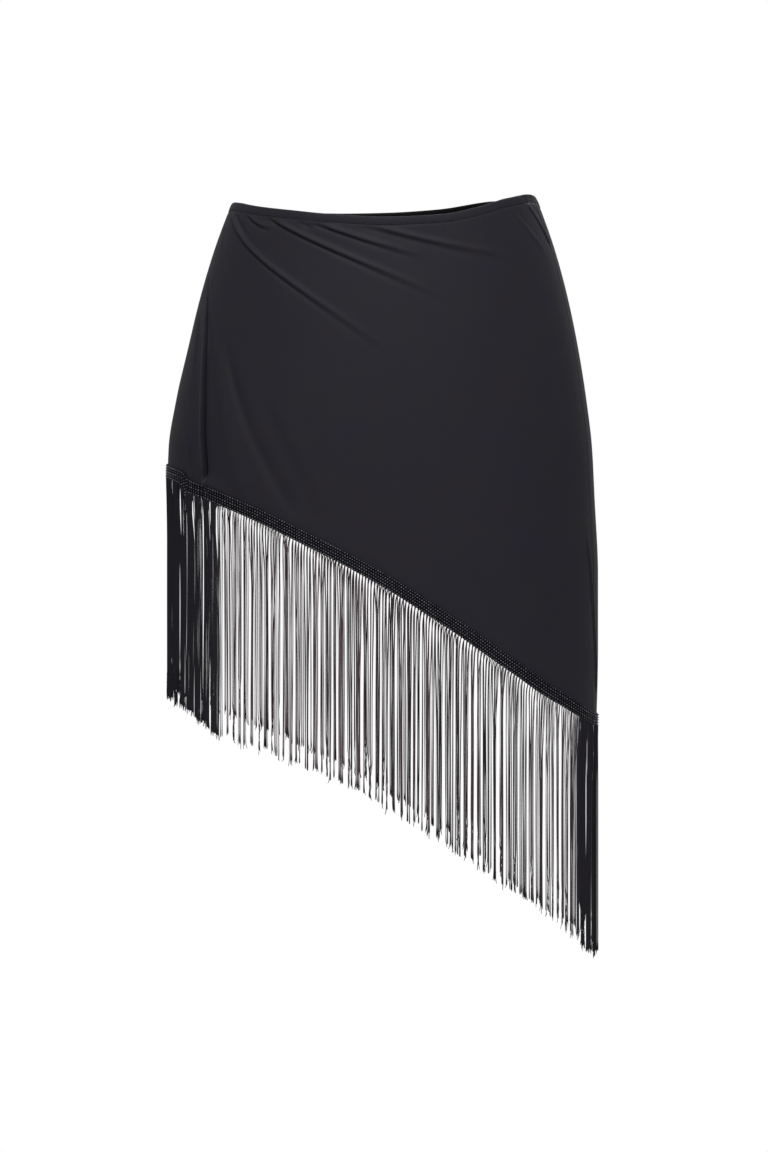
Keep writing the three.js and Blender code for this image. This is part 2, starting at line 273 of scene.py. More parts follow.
def heading_top(angle):
    """Drop of the heading's upper edge, along its column of the table."""
    return follow(EDGES, "angle", "hem", angle)


def heading_bottom(angle):
    """Drop of the heading's lower edge. The heading is as wide everywhere square to its run: its height
    is its width times the length of a short step along its edge, over that step's level length."""
    step = 3  # degrees
    ahead, behind = (form_point(angle + turn, heading_top(angle + turn)) for turn in (step, -step))
    steep = np.linalg.norm(ahead - behind, axis=-1) / np.linalg.norm((ahead - behind)[..., :2], axis=-1)
    return heading_top(angle) + HEADING_WIDTH * steep


def form_point(angle, drop):
    """Smooth form without folds. A section is an ellipse with squared corners: x is the middle less
    the half width times cos(angle), y the depth times -sin(angle), both times 1 + s sin(2 angle)^2."""
    left, right, front, back = (
        follow(SECTIONS, "drop", column, drop) for column in ("left", "right", "front", "back")
    )
    turn = np.radians(angle)
    swell = 1 + SQUARENESS * np.sin(2 * turn) ** 2
    depth = np.where(np.sin(turn) > 0, front, back)
    x = (right - left) / 2 - (right + left) / 2 * np.cos(turn) * swell
    return np.stack(np.broadcast_arrays(x, -depth * np.sin(turn) * swell, -drop), -1)


def outward(angle, drop):
    """Direction square to the smooth form, from steps across and down it."""
    across = form_point(angle + 0.5, drop) - form_point(angle - 0.5, drop)
    down = form_point(angle, drop + 1) - form_point(angle, drop - 1)
    return unit(np.cross(down, across))


def fold_shape(angle, drop):
    """Height of all the folds, and the angle and drop by which they roll over. With t along a fold's
    line and side the distance to it, less the bow times 4 t (1 - t), its height is a bell of the
    ridge at the lean less a bell of the trough on the line, and its roll a bell that moves the ridge
    towards the trough. Their sides that face each other are half the lean wide. All widen with t, as
    folds do that spread from a corner."""
    height, turn, slide = np.zeros((3, *np.broadcast(angle, drop).shape))
    for fold in FOLDS:
        run = ((fold.end - fold.start) * FOLD_SCALE, fold.top - fold.foot)
        length = math.hypot(*run)
        place = ((angle - fold.start) * FOLD_SCALE, fold.top - drop)
        t = (place[0] * run[0] + place[1] * run[1]) / length ** 2
        within = np.clip(t, 0, 1)
        side = (run[0] * place[1] - run[1] * place[0]) / length - fold.bow * 4 * within * (1 - within)
        hand = math.copysign(1, fold.lean)
        spread = FOLD_WIDTH + FOLD_WIDENS * within
        side = side * hand / spread
        lean = abs(fold.lean)
        near = lean / 2
        ends = smooth(t, 0, fold.fade_in) * smooth(1 - t, 0, fold.fade_out)
        height += ends * fold.ridge * bell(side - lean, fold.outer, near)
        height -= ends * fold.trough * bell(side, near, fold.valley)
        roll = bell(side - FOLD_ROLL_AT * lean, FOLD_ROLL_OUTER * lean, near)
        roll = ends * fold.roll * lean * spread * roll
        turn += roll * hand * run[1] / length / FOLD_SCALE
        slide += roll * hand * run[0] / length
    return height, turn, slide


def seam_height(angle):
    """Narrow groove of a side seam, a bell cut into the cloth, with a faint bell of a roll beside it."""
    scale = 2.0  # mm to a degree at the sides
    groove_depth, groove_width = 0.25, 0.4
    roll_height, roll_width, roll_away = 0.08, 0.9, 1.4
    total = np.zeros(np.shape(angle))
    for seam in SEAMS:
        away = np.abs(angle - seam) * scale
        total += roll_height * bell(away - roll_away, roll_width) - groove_depth * bell(away, groove_width)
    return total


def cloth_point(angle, drop, out=0.0, seams=False):
    """Point of the folded cloth, moved out of its outside. Folds start under the casing, and over the
    last stretch above the heading they no longer roll over, as its stitches hold the hem straight."""
    edge = waist_drop(angle) + CASING_HEIGHT
    start = smooth(drop, edge, edge + FOLD_START)
    height, turn, slide = (start * part for part in fold_shape(angle, drop))
    loose = smooth(heading_top(angle) - drop, 0, FOLD_HELD)
    turn, slide, height = turn * loose, slide * loose, height * (FOLD_LEFT + (1 - FOLD_LEFT) * loose)
    if seams:
        height = height + seam_height(angle)
    place = form_point(angle + turn, drop + slide)
    return place + outward(angle, drop) * (height + out)[..., None]


def spaced_angles(half, line, pitch, level=False):
    """Angles where a line round one half has gone one more pitch, from a running sum of its length
    over the pitch. level leaves the line's rise out."""
    samples = 4001
    angle = np.linspace(half.start, half.end, samples)
    point = cloth_point(angle, line(angle))
    if level:
        point[:, 2] = 0
    step = np.linalg.norm(np.diff(point, axis=0), axis=1)
    middle = (angle[1:] + angle[:-1]) / 2
    count = np.concatenate([[0], np.cumsum(step / pitch(middle))])
    number = int(count[-1])
    return np.interp((np.arange(number) + 0.5) * count[-1] / number, count, angle)


def add_mesh(name, points, faces, uv=None, tone=None):
    """New piece at the origin, from places in mm and four-cornered faces. uv is in mm for each point,
    and tone is a number from 0 to 1 for each point, for its colour."""
    mesh = bpy.data.meshes.new(name)
    points, faces = points.reshape(-1, 3) * MM, faces.reshape(-1, 4)
    mesh.vertices.add(len(points))
    mesh.vertices.foreach_set("co", points.ravel())
    mesh.loops.add(faces.size)
    mesh.loops.foreach_set("vertex_index", faces.ravel())
    mesh.polygons.add(len(faces))
    mesh.polygons.foreach_set("loop_start", np.arange(0, faces.size, 4))
    mesh.polygons.foreach_set("use_smooth", np.ones(len(faces), bool))
    mesh.update(calc_edges=True)
    if uv is not None:
        layer = mesh.uv_layers.new(name="cloth")
        layer.data.foreach_set("uv", (uv.reshape(-1, 2) * MM)[faces.ravel()].ravel())
    if tone is not None:
        mesh.attributes.new("tone", "FLOAT", "POINT").data.foreach_set("value", tone.ravel())
    piece = bpy.data.objects.new(name, mesh)
    bpy.context.scene.collection.objects.link(piece)
    return piece


def grid_faces(across, down, loop_across=False, loop_down=False):
    """Faces of a grid of points, numbered down each column. They point out of the body where columns
    go round it by rising angle."""
    c = np.arange(across if loop_across else across - 1)[:, None]
    r = np.arange(down if loop_down else down - 1)[None, :]
    c1, r1 = (c + 1) % across, (r + 1) % down
    return np.stack(np.broadcast_arrays(c * down + r, c * down + r1, c1 * down + r1, c1 * down + r), -1)


def tube_mesh(name, centres, radii, up, corners, closed=False, tone=None):
    """Many tubes in one piece. centres is (tubes, stations, 3), radii (tubes, stations) and up a
    direction for each tube. A point is its centre plus radius times (cos * side + sin * top), where
    side is square to the path and up, and top square to the path and side. tone is a number for each
    tube or each station."""
    if closed:
        path = np.roll(centres, -1, 1) - np.roll(centres, 1, 1)
    else:
        path = np.gradient(centres, axis=1)
    path = unit(path)
    side = unit(np.cross(up[:, None, :], path))
    top = np.cross(path, side)
    turn = np.arange(corners) * 2 * np.pi / corners
    ring = np.cos(turn)[:, None] * side[:, :, None, :] + np.sin(turn)[:, None] * top[:, :, None, :]
    points = centres[:, :, None, :] + radii[:, :, None, None] * ring
    number, stations = radii.shape
    s = np.arange(stations if closed else stations - 1)[:, None]
    c = np.arange(corners)[None, :]
    s1, c1 = (s + 1) % stations, (c + 1) % corners
    rings = (s * corners + c, s * corners + c1, s1 * corners + c1, s1 * corners + c)
    tube = np.stack(rings, -1).reshape(-1, 4)
    if not closed:
        fan = np.array([(0, k + 1, k + 2, k + 3) for k in range(0, corners - 2, 2)])
        tube = np.concatenate([tube, fan[:, ::-1], fan + (stations - 1) * corners])
    faces = tube[None] + (np.arange(number) * stations * corners)[:, None, None]
    length = np.linalg.norm(np.diff(centres, axis=1), axis=2)
    along = np.concatenate([np.zeros((number, 1)), np.cumsum(length, 1)], 1)
    corner_step = 0.25  # mm round a thread from one corner to the next
    uv = np.stack(np.broadcast_arrays(c[None] * corner_step, along[:, :, None]), -1)
    if tone is not None:
        tone = np.broadcast_to(tone.reshape(number, -1, 1), points.shape[:3])
    return add_mesh(name, points, faces, uv, tone)


def add_node(tree, kind, inputs=None, **settings):
    """One node. settings are its own properties, and inputs gives a socket its value or the output
    that feeds it."""
    node = tree.nodes.new(kind)
    for key, value in settings.items():
        setattr(node, key, value)
    for key, value in (inputs or {}).items():
        if isinstance(value, bpy.types.NodeSocket):
            tree.links.new(value, node.inputs[key])
        else:
            node.inputs[key].default_value = value
    return node


def new_material(name):
    """Empty material and its Principled shader."""
    material = bpy.data.materials.new(name)
    material.use_nodes = True
    tree = material.node_tree
    tree.nodes.clear()
    shader = add_node(tree, "ShaderNodeBsdfPrincipled")
    add_node(tree, "ShaderNodeOutputMaterial", {"Surface": shader.outputs["BSDF"]})
    return material, tree, shader


def band_scale(pitch):
    """Scale that gives a Wave Texture's bands this pitch in mm, on coordinates in metres: a band is
    2 pi / 20 wide at scale 1."""
    return 2 * math.pi / (20 * pitch * MM)


def noise_scale(patch):
    """Scale that gives a Noise Texture patches of about this size in mm, on coordinates in metres."""
    return 1 / (patch * MM)


def tint(colour, *shares):
    """The colour with its red, green and blue times a share each, and opaque."""
    return tuple(c * share for c, share in zip(colour, shares)) + (1,)


def jersey_material(name, colour, wale):
    """Viscose jersey: a soft, dull knit, dyed black with a cold cast, that took the dye a little
    unevenly. It hardly mirrors. Real wales are 0.5 mm apart, too fine for the render, so they are
    drawn about twice as wide."""
    material, tree, shader = new_material(name)
    place = add_node(tree, "ShaderNodeTexCoord")
    wales, courses = (
        add_node(
            tree, "ShaderNodeTexWave",
            {"Vector": place.outputs["UV"], "Scale": band_scale(pitch), "Distortion": 0.6, "Detail": 1.0},
            bands_direction=direction,
        )
        for pitch, direction in ((wale, "X"), (0.8 * wale, "Y"))
    )
    knit = add_node(
        tree, "ShaderNodeMath",
        {0: wales.outputs["Fac"], 1: courses.outputs["Fac"]},
        operation="MULTIPLY",
    )
    cloud = add_node(
        tree, "ShaderNodeTexNoise",
        {"Vector": place.outputs["Object"], "Scale": noise_scale(25), "Detail": 6.0, "Roughness": 0.66},
    )
    patches = add_node(
        tree, "ShaderNodeMapRange",
        {"Value": cloud.outputs["Fac"], "From Min": 0.32, "From Max": 0.68},
    )
    warm = tint(colour, 1.06, 1.02, 0.94)
    cold = tint(colour, 0.97, 0.96, 1.12)
    blend = add_node(
        tree, "ShaderNodeMix",
        {"Factor": patches.outputs["Result"], "A": warm, "B": cold},
        data_type="RGBA",
    )
    # Painted shade and highlight of the knit: the colour falls in its hollows and rises on its loops, beside
    # the bump.
    shade = add_node(
        tree, "ShaderNodeMapRange",
        {"Value": knit.outputs["Value"], "To Min": 0.88, "To Max": 1.08},
    )
    dyed = add_node(
        tree, "ShaderNodeVectorMath",
        {0: blend.outputs["Result"], "Scale": shade.outputs["Result"]},
        operation="SCALE",
    )
    bump = add_node(
        tree, "ShaderNodeBump",
        {"Height": knit.outputs["Value"], "Strength": 0.18, "Distance": 0.15 * MM},
    )
    tree.links.new(dyed.outputs["Vector"], shader.inputs["Base Color"])
    tree.links.new(bump.outputs["Normal"], shader.inputs["Normal"])
    shader.inputs["Roughness"].default_value = 0.55
    shader.inputs["Specular IOR Level"].default_value = 0.1
    shader.inputs["Sheen Weight"].default_value = 0.02
    shader.inputs["Sheen Roughness"].default_value = 0.3
    return material


def yarn_material(name, dark, light, twist, gloss):
    """Twisted yarn of viscose, or of polyester for sewing: smooth filaments with a soft gloss along the
    thread. Threads differ in tone between a dark and a light colour, and the ply shows as slanting
    bands."""
    material, tree, shader = new_material(name)
    place = add_node(tree, "ShaderNodeTexCoord")
    tone = add_node(tree, "ShaderNodeAttribute", attribute_name="tone")
    blend = add_node(
        tree, "ShaderNodeMix",
        {"Factor": tone.outputs["Fac"], "A": (*dark, 1), "B": (*light, 1)},
        data_type="RGBA",
    )
    ply = add_node(
        tree, "ShaderNodeTexWave",
        {"Vector": place.outputs["UV"], "Scale": band_scale(twist)},
        bands_direction="DIAGONAL",
    )
    bump = add_node(
        tree, "ShaderNodeBump",
        {"Height": ply.outputs["Fac"], "Strength": 0.3, "Distance": 0.1 * MM},
    )
    tree.links.new(blend.outputs["Result"], shader.inputs["Base Color"])
    tree.links.new(bump.outputs["Normal"], shader.inputs["Normal"])
    shader.inputs["Roughness"].default_value = 0.45
    shader.inputs["Specular IOR Level"].default_value = gloss
    return material


def floor_material(name, colour):
    """Matt painted board: an even pale surface with faint roller marks, three to a metre."""
    material, tree, shader = new_material(name)
    place = add_node(tree, "ShaderNodeTexCoord")
    marks = add_node(
        tree, "ShaderNodeTexNoise",
        {"Vector": place.outputs["Object"], "Scale": noise_scale(1000 / 3), "Detail": 2.0},
    )
    darker, lighter = (tint(colour, share, share, share) for share in (0.99, 1.01))
    blend = add_node(
        tree, "ShaderNodeMix",
        {"Factor": marks.outputs["Fac"], "A": darker, "B": lighter},
        data_type="RGBA",
    )
    tree.links.new(blend.outputs["Result"], shader.inputs["Base Color"])
    shader.inputs["Roughness"].default_value = 0.9
    shader.inputs["Specular IOR Level"].default_value = 0.1
    return material


def dress(piece, materials, slot, *nodes):
    """The piece gets its materials, rides on the one body and stands for the named solids."""
    for material in materials:
        piece.data.materials.append(material)
    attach(piece, "root")
    if nodes:
        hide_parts(*nodes)


class ClothSettings(bpy.types.PropertyGroup):
    """Cloth of the front and the back."""

    colour: bpy.props.FloatVectorProperty(
        name="Cloth colour", description="Colour of the dyed jersey", subtype="COLOR",
        default=linear("242329"), min=0, max=1,
    )
    fineness: bpy.props.FloatProperty(
        name="Fineness", description="Share of the table's number of columns", default=1, min=0.3, max=1.2,
    )
    rows: bpy.props.IntProperty(
        name="Rows", description="Rows of cloth from the waist to the hem", default=138, min=40, max=150,
    )


class WaistSettings(bpy.types.PropertyGroup):
    """Turned waist edge."""

    colour: bpy.props.FloatVectorProperty(
        name="Casing colour", description="Colour of the stretched jersey over the elastic", subtype="COLOR",
        default=linear("25242a"), min=0, max=1,
    )
    stitch_pitch: bpy.props.FloatProperty(
        name="Stitch pitch", description="From one topstitch to the next", unit="LENGTH", default=2.8 * MM,
    )
    stitch_length: bpy.props.FloatProperty(
        name="Stitch length", description="Length of thread that shows of a topstitch", unit="LENGTH",
        default=1.9 * MM,
    )
    thread: bpy.props.FloatProperty(
        name="Thread", description="Diameter of the sewing thread", unit="LENGTH", default=0.34 * MM,
    )


class FringeSettings(bpy.types.PropertyGroup):
    """Heading of chain stitch and the threads that hang from it."""

    colour: bpy.props.FloatVectorProperty(
        name="Dark yarn", description="Colour of the fringe's darkest threads", subtype="COLOR",
        default=linear("202026"), min=0, max=1,
    )
    # The light yarn's pale, pinkish colour is partly painted sheen of the glossy viscose; its share differs
    # by zone and at random.
    light: bpy.props.FloatVectorProperty(
        name="Light yarn", description="Colour of the fringe's lightest threads", subtype="COLOR",
        default=linear("8c757e"), min=0, max=1,
    )
    length: bpy.props.FloatProperty(
        name="Length", description="Length of the threads under the heading", unit="LENGTH", default=172 * MM,
    )
    thread: bpy.props.FloatProperty(
        name="Thread", description="Diameter of one thread", unit="LENGTH", default=0.37 * MM,
    )
    plies: bpy.props.IntProperty(
        name="Threads", description="Threads of one strand", default=3, min=1, max=4,
    )
    chain_rows: bpy.props.IntProperty(
        name="Chain rows", description="Rows of chain stitch in the heading", default=5, min=1, max=8,
    )
    chain_pitch: bpy.props.FloatProperty(
        name="Chain pitch", description="From one chain stitch to the next", unit="LENGTH", default=2.1 * MM,
    )


class StageSettings(bpy.types.PropertyGroup):
    """Camera, floor and lights."""

    distance: bpy.props.FloatProperty(
        name="Distance", description="From the camera to the skirt's middle", unit="LENGTH", default=5.0,
    )
    view_height: bpy.props.FloatProperty(
        name="View height", description="Height of the camera's view at the skirt", unit="LENGTH",
        default=0.9216,
    )
    eye_drop: bpy.props.FloatProperty(
        name="Eye drop", description="How far the camera is below the waist", unit="LENGTH", default=0.3016,
    )
    floor_drop: bpy.props.FloatProperty(
        name="Floor drop", description="From the waist down to the floor", unit="LENGTH", default=1.0,
    )
    floor_colour: bpy.props.FloatVectorProperty(
        name="Floor colour", description="Colour of the floor", subtype="COLOR", default=linear("c4c3c0"),
        min=0, max=1,
    )
    horizon: bpy.props.FloatProperty(
        name="Surround", description="Strength of the light from all round, level and below",
        default=0.18, min=0,
    )
    overhead: bpy.props.FloatProperty(
        name="Overhead", description="Strength of the surround straight above", default=1.0, min=0,
    )
    key: bpy.props.FloatProperty(
        name="Key light", description="Power of the large soft light in front, above", unit="POWER",
        default=168,
    )
    rim: bpy.props.FloatProperty(
        name="Edge light", description="Power of the light behind the right side", unit="POWER", default=85,
    )


class SKIRT_OT_stage(bpy.types.Operator):
    """Adds the camera, the floor and the lights"""

    bl_idname = "skirt.stage"
    bl_label = "Stage"

    def execute(self, context):
        stage = context.scene.skirt_stage
        add_camera(stage)
        add_floor(stage)
        add_lights(stage)
        return {"FINISHED"}


def add_camera(stage):
    """Level camera at the height of the photograph's middle. A long side of the sensor, 36 mm, over the
    lens is the view's height over its distance."""
    data = bpy.data.cameras.new("camera")
    data.sensor_width = 36
    data.lens = data.sensor_width * stage.distance / stage.view_height
    data.clip_end = 50
    camera = bpy.data.objects.new("camera", data)
    camera.location = (0, -stage.distance, -stage.eye_drop)
    camera.rotation_euler = (math.pi / 2, 0, 0)
    bpy.context.scene.collection.objects.link(camera)
    bpy.context.scene.camera = camera
    bpy.context.scene.view_settings.view_transform = "Standard"


def add_floor(stage):
    """Round floor: points at each radius times (cos, sin) of each turn, on one level."""
    rings, spokes, radius = 12, 96, 2400
    reach = np.linspace(1, radius, rings)[None, :]
    turn = np.linspace(0, 2 * np.pi, spokes, endpoint=False)[:, None]
    flat = (reach * np.cos(turn), reach * np.sin(turn), -stage.floor_drop / MM)
    points = np.stack(np.broadcast_arrays(*flat), -1)
    floor = add_mesh("floor", points, grid_faces(spokes, rings, loop_across=True)[..., ::-1])
    floor.data.materials.append(floor_material("matt_painted_board", tuple(stage.floor_colour)))


def add_lights(stage):
    """White surround, as a light dimmer than it looks and brighter from above, a soft light above the
    camera and one far behind the right side."""
    world = bpy.data.worlds.new("surround")
    world.use_nodes = True
    tree = world.node_tree
    tree.nodes.clear()
    seen = add_node(tree, "ShaderNodeLightPath")
    place = add_node(tree, "ShaderNodeTexCoord")
    up = add_node(tree, "ShaderNodeSeparateXYZ", {"Vector": place.outputs["Generated"]})
    strength = add_node(
        tree, "ShaderNodeMapRange",
        {"Value": up.outputs["Z"], "From Min": 0.0, "From Max": 1.0,
         "To Min": stage.horizon, "To Max": stage.overhead},
    )
    light = add_node(
        tree, "ShaderNodeBackground",
        {"Color": (1, 1, 1, 1), "Strength": strength.outputs["Result"]},
    )
    backdrop = add_node(tree, "ShaderNodeBackground", {"Color": (1, 1, 1, 1), "Strength": 1.0})
    either = add_node(
        tree, "ShaderNodeMixShader",
        {0: seen.outputs["Is Camera Ray"], 1: light.outputs["Background"], 2: backdrop.outputs["Background"]},
    )
    add_node(tree, "ShaderNodeOutputWorld", {"Surface": either.outputs["Shader"]})
    bpy.context.scene.world = world
    target = np.array((0, 0, -0.25))
    for name, place, width, height, power in (
        ("key", (0.1, -3.1, 3.4), 2.8, 2.0, stage.key),
        ("edge", (1.3, 2.9, 2.6), 0.8, 1.4, stage.rim),
    ):
        data = bpy.data.lights.new(name, "AREA")
        data.shape = "RECTANGLE"
        data.size, data.size_y = width, height
        data.energy = power
        lamp = bpy.data.objects.new(name, data)
        lamp.location = place
        aim = Vector(target - np.array(place))
        lamp.rotation_euler = aim.to_track_quat("-Z", "Y").to_euler()
        bpy.context.scene.collection.objects.link(lamp)


class SKIRT_OT_waist(bpy.types.Operator):
    """Adds the turned waist edge and its topstitching"""

    bl_idname = "skirt.waist"
    bl_label = "Waist edge"

    def execute(self, context):
        waist = context.scene.skirt_waist
        outside = jersey_material("stretched_viscose_jersey", tuple(waist.colour), wale=1.1)
        # Painted shade: the casing's inside gets a near-black colour that stands in for the shade inside the
        # waist opening.
        inside = jersey_material("inside_of_waist_jersey", linear("0c0b0e"), wale=1.1)
        dress(add_casing(), (outside, inside), "casing", "waist_casing")
        thread = yarn_material(
            "polyester_sewing_thread", linear("29282e"), linear("37363d"), twist=0.8, gloss=0.3,
        )
        dress(add_topstitches(waist), (thread,), "casing")
        return {"FINISHED"}


# Closed profile of the casing: down from its top edge, and proud of the middle of the cloth.
CASING_PROFILE = table("down proud", [
    (0.0, 0.0),
    (0.12, 0.5),
    (0.45, 0.85),
    (1.0, 0.96),
    (2.0, 1.02),
    (3.2, 1.02),
    (4.4, 0.98),
    (5.3, 0.9),
    (5.9, 0.78),
    (6.4, 0.6),
    (6.6, 0.0),
    (6.4, -0.5),
    (5.9, -0.9),
    (5.0, -1.2),
    (3.2, -1.35),
    (1.6, -1.3),
    (0.7, -1.1),
    (0.2, -0.65),
])
ELASTIC_MIDDLE = 3.2  # from the casing's upper edge down to the middle of its elastic
STITCH_MARGIN = 0.35  # from the topstitching down to the casing's lower edge

# Gathers of the elastic: how many go round the waist, their share of the height, and their start.
GATHERS = table("number share start", [
    (61, 1, 0),
    (83, 0.7, 1.3),
    (47, 0.6, 0.4),
    (113, 0.5, 0),
])
GATHER_HEIGHT = 0.07  # of a gather whose share is 1
GATHER_REACH = 14  # they die away over about this distance from the elastic


def pucker(angle, away):
    """Soft gathers of the elastic: a sum of sines round the waist, times exp(-away / reach)."""
    turn = np.radians(angle)
    waves = sum(share * np.sin(number * turn + start) for number, share, start in zip(*GATHERS.values()))
    return GATHER_HEIGHT * waves * np.exp(-away / GATHER_REACH)


def add_casing():
    """The profile at each angle, down along the form and out along its outward direction."""
    columns = 480
    angle = np.arange(columns)[:, None] * 360 / columns
    down, proud = CASING_PROFILE["down"][None, :], CASING_PROFILE["proud"][None, :]
    level = form_point(angle, waist_drop(angle) + down)
    middle = -CLOTH / 2 + pucker(angle, np.abs(ELASTIC_MIDDLE - down))
    points = level + outward(angle, 0 * angle) * (middle + proud)[..., None]
    moved_on = 3  # the pattern of the inside doesn't lie behind that of the outside
    uv = np.stack(np.broadcast_arrays(angle * WAIST_SCALE, down + moved_on * (proud < 0)), -1)
    casing = add_mesh("waist_casing_cloth", points, grid_faces(columns, len(down[0]), True, True), uv)
    # Faces on the inside of the casing take the second material, its painted shade.
    inner = (proud[0] < 0) | (np.roll(proud[0], -1) < 0)
    casing.data.polygons.foreach_set("material_index", np.tile(inner, columns).astype(np.int32))
    return casing


def waist_stitch_line(angle):
    """Drop of the topstitching, just above the casing's lower edge."""
    return waist_drop(angle) + CASING_HEIGHT - STITCH_MARGIN


def add_topstitches(waist):
    """One row of short bowed tubes. With s from -1 to 1 along a stitch, its height and its radius both
    fall with s^4, so that its ends sink into the cloth."""
    whole = Half("waist", 0, 360, 0)
    pitch, radius = waist.stitch_pitch / MM, waist.thread / MM / 2
    angle = spaced_angles(whole, waist_stitch_line, lambda a: pitch)
    s = np.linspace(-1, 1, 7)
    scale = np.linalg.norm(form_point(angle + 0.5, 0 * angle) - form_point(angle - 0.5, 0 * angle), axis=1)
    at = angle[:, None] + s[None, :] * waist.stitch_length / MM / 2 / scale[:, None]
    sunk, fall, thinning = 0.05, 2.2, 0.45  # fall and thinning are shares of the radius
    proud = radius * (1 - fall * s ** 4) - sunk
    line = form_point(at, waist_stitch_line(at % 360)) + outward(at, 0 * at) * proud[None, :, None]
    radii = np.broadcast_to(radius * (1 - thinning * s ** 4), at.shape)
    return tube_mesh("waist_topstitches", line, radii, outward(angle, 0 * angle), 6, tone=angle % 1)


class SKIRT_OT_heading(bpy.types.Operator):
    """Adds the stitched heading of the fringe round the hem"""

    bl_idname = "skirt.heading"
    bl_label = "Fringe heading"

    def execute(self, context):
        fringe = context.scene.skirt_fringe
        tape = yarn_material(
            "woven_viscose_tape", linear("09090c"), linear("0d0d11"), twist=1.2, gloss=0.05,
        )
        # Painted highlight: the chain stitch's grey colours stand in for the light caught on the tops of its
        # loops.
        chain = yarn_material(
            "viscose_chain_stitch", linear("4c4c54"), linear("787883"), twist=0.9, gloss=0.06,
        )
        for half in (FRONT, BACK):
            dress(add_tape(half), (tape,), "fringe")
            dress(add_chain(half, fringe), (chain,), "fringe")
        return {"FINISHED"}


def heading_drop(angle, share):
    """Drop at a share of the heading's height, from its upper edge to its lower."""
    top = heading_top(angle)
    return top + share * (heading_bottom(angle) - top)


# Closed profile of the tape: share of the heading's width, and height over the cloth.
TAPE_PROFILE = table("share out", [
    (0.0, 0.5),
    (0.015, 0.85),
    (0.1, 0.95),
    (0.2, 0.7),
    (0.3, 0.95),
    (0.4, 0.7),
    (0.5, 0.95),
    (0.6, 0.7),
    (0.7, 0.95),
    (0.8, 0.7),
    (0.9, 0.95),
    (0.985, 0.85),
    (1.0, 0.5),
    (0.985, 0.1),
    (0.5, 0.05),
    (0.015, 0.1),
])
CHAIN_HEIGHT = 1.05  # from the tape's underside to the middle of the chain's thread
CHAIN_THREAD = 0.44  # its diameter


def add_tape(half):
    """The profile at each angle, on the folded cloth."""
    columns = 420
    short = 0.03  # degrees from a seam to the tape's end
    angle = np.linspace(half.start + short, half.end - short, columns)[:, None]
    share, out = TAPE_PROFILE["share"][None, :], TAPE_PROFILE["out"][None, :]
    points = cloth_point(angle, heading_drop(angle, share), SEAM_GAP + out)
    uv = np.stack(np.broadcast_arrays(angle * HEM_SCALE, share * HEADING_WIDTH), -1)
    faces = grid_faces(columns, len(share[0]), loop_down=True)
    caps = closing_faces(columns, len(share[0]))
    tone = np.full(points.shape[:2], 0.5)
    faces = np.concatenate([faces.reshape(-1, 4), caps])
    return add_mesh(f"fringe_tape_{half.name}", points, faces, uv, tone)


def closing_faces(columns, down):
    """Faces over both ends of a closed strip, in pairs of points from its two long sides."""
    k = np.arange(down // 2 - 1)
    first = np.stack([k, (down - k - 1) % down, (down - k - 2) % down, k + 1], -1)
    return np.concatenate([first, first[:, ::-1] + (columns - 1) * down])


def chain_stretch(angle):
    """How much farther apart the stitches are than in the middle of the front: hypot(1, 0.65 / tan of
    the angle), up to 1.7. Round the sides the front shows them at a slant."""
    off_seam = 0.01  # keeps the tangent from 0
    return np.minimum(np.hypot(1, 0.65 / np.tan(np.radians(angle + off_seam))), 1.7)


def add_chain(half, fringe):
    """Rows of chain stitch. A stitch is a closed thread: cos along the run, sin across it, narrower at
    its tail, with its head higher than its tail."""
    rows, pitch = fringe.chain_rows, fringe.chain_pitch / MM
    stations = 9
    turn = np.arange(stations) * 2 * np.pi / stations
    half_length, half_width = 0.13 * pitch, 0.16 * HEADING_WIDTH / rows  # to the middle of its thread
    rise, taper = 0.2, 0.35  # how much higher and how much wider the head is than the middle
    step = 0.15  # degrees to each side, for the direction of the run
    loops, ups, tones = [], [], []
    rng = np.random.default_rng(half.seed + 5)
    angle = spaced_angles(half, lambda a: heading_drop(a, 0.5), lambda a: pitch * chain_stretch(a))
    for row in range(rows):
        share = (row + 0.5) / rows
        ahead = cloth_point(angle + step, heading_drop(angle + step, share))
        behind = cloth_point(angle - step, heading_drop(angle - step, share))
        run = unit(ahead - behind) * (1 if row % 2 else -1)
        up = outward(angle, heading_drop(angle, share))
        across = np.cross(up, run)
        centre = cloth_point(angle, heading_drop(angle, share), SEAM_GAP + CHAIN_HEIGHT)
        swell = rng.uniform(0.85, 1.12, (len(angle), 1))
        x = half_length * np.cos(turn)[None, :] * swell
        y = half_width * np.sin(turn)[None, :] * (1 + taper * np.cos(turn)) * swell
        z = rise * np.cos(turn)[None, :] + rng.uniform(-0.06, 0.06, (len(angle), 1))
        parts = (way[:, None] * size[..., None] for way, size in ((run, x), (across, y), (up, z)))
        loops.append(centre[:, None] + sum(parts))
        ups.append(up)
        tones.append(rng.uniform(0, 1, len(angle)))
    centres, up, tone = np.concatenate(loops), np.concatenate(ups), np.concatenate(tones)
    radii = np.full(centres.shape[:2], CHAIN_THREAD / 2)
    return tube_mesh(f"fringe_chain_{half.name}", centres, radii, up, 4, closed=True, tone=tone)


class SKIRT_OT_fringe(bpy.types.Operator):
    """Adds the threads of the fringe"""

    bl_idname = "skirt.fringe"
    bl_label = "Fringe threads"

    def execute(self, context):
        fringe = context.scene.skirt_fringe
        yarn = yarn_material(
            "twisted_viscose_yarn", tuple(fringe.colour), tuple(fringe.light), twist=1.1, gloss=0.12,
        )
        for half in (FRONT, BACK):
            dress(add_strands(half, fringe), (yarn,), "fringe", f"fringe_{half.name}")
        return {"FINISHED"}


